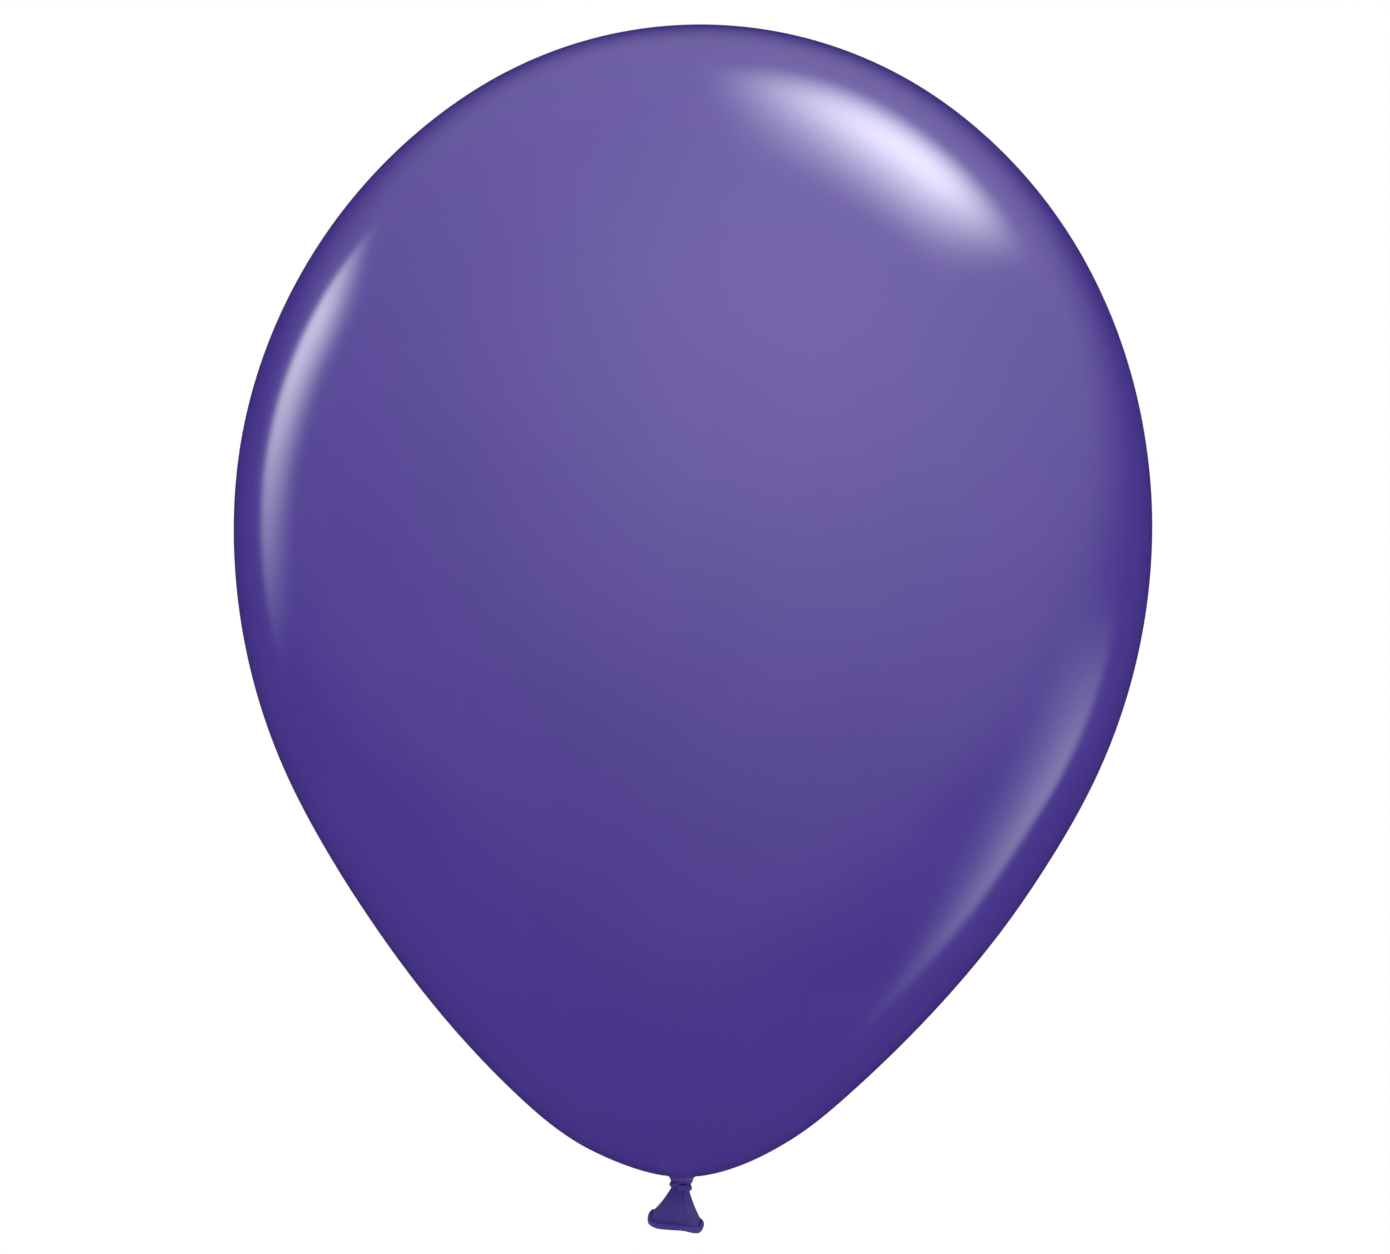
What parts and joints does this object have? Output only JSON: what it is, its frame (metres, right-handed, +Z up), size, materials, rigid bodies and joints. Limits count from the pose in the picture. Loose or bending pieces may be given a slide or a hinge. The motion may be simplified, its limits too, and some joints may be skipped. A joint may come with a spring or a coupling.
{
  "type": "latex balloon",
  "caption": "Inflated pear-shaped party balloon in opaque violet latex, tied in its own neck, with a flared tail and rolled lip.",
  "frame": {"origin": "tie groove just under the envelope, on the envelope's axis, where a ribbon is tied", "axes": "+Z up along the envelope's axis towards the crown; +X to the right of the front view; -Y towards the viewer; the knot and tail lean 8 degrees towards -X"},
  "size_m": [0.2799, 0.28, 0.367],
  "materials": {
    "stretched_latex": "gloss",
    "relaxed_latex": "satin"
  },
  "bodies": {
    "envelope": {"envelope": "stretched_latex"},
    "neck": {"neck_stem": "relaxed_latex"},
    "knot": {"knot_loop": "relaxed_latex", "knot_core": "relaxed_latex"},
    "tail_stem": {"tail_stem": "relaxed_latex"},
    "tail": {"tail_skirt": "relaxed_latex", "rolled_lip": "relaxed_latex"}
  },
  "joints": [
    {"name": "neck_nod", "type": "hinge", "parent": "envelope", "child": "neck", "pos_m": [0, 0, 0], "axis": [1, 0, 0], "range_deg": [-15, 15], "stiffness_Nm_per_rad": 0.002, "deforming": ["neck_stem"]},
    {"name": "neck_sway", "type": "hinge", "parent": "neck", "child": "knot", "pos_m": [0, 0, 0], "axis": [0, 1, 0], "range_deg": [-15, 15], "stiffness_Nm_per_rad": 0.002, "deforming": ["neck_stem"]},
    {"name": "tail_nod", "type": "hinge", "parent": "knot", "child": "tail_stem", "pos_m": [-0.00061, 0, -0.00436], "axis": [0.9903, 0, -0.1392], "range_deg": [-35, 35], "stiffness_Nm_per_rad": 0.0005, "deforming": ["tail_stem"]},
    {"name": "tail_sway", "type": "hinge", "parent": "tail_stem", "child": "tail", "pos_m": [-0.00061, 0, -0.00436], "axis": [0, 1, 0], "range_deg": [-35, 35], "stiffness_Nm_per_rad": 0.0005, "deforming": ["tail_stem"]}
  ]
}
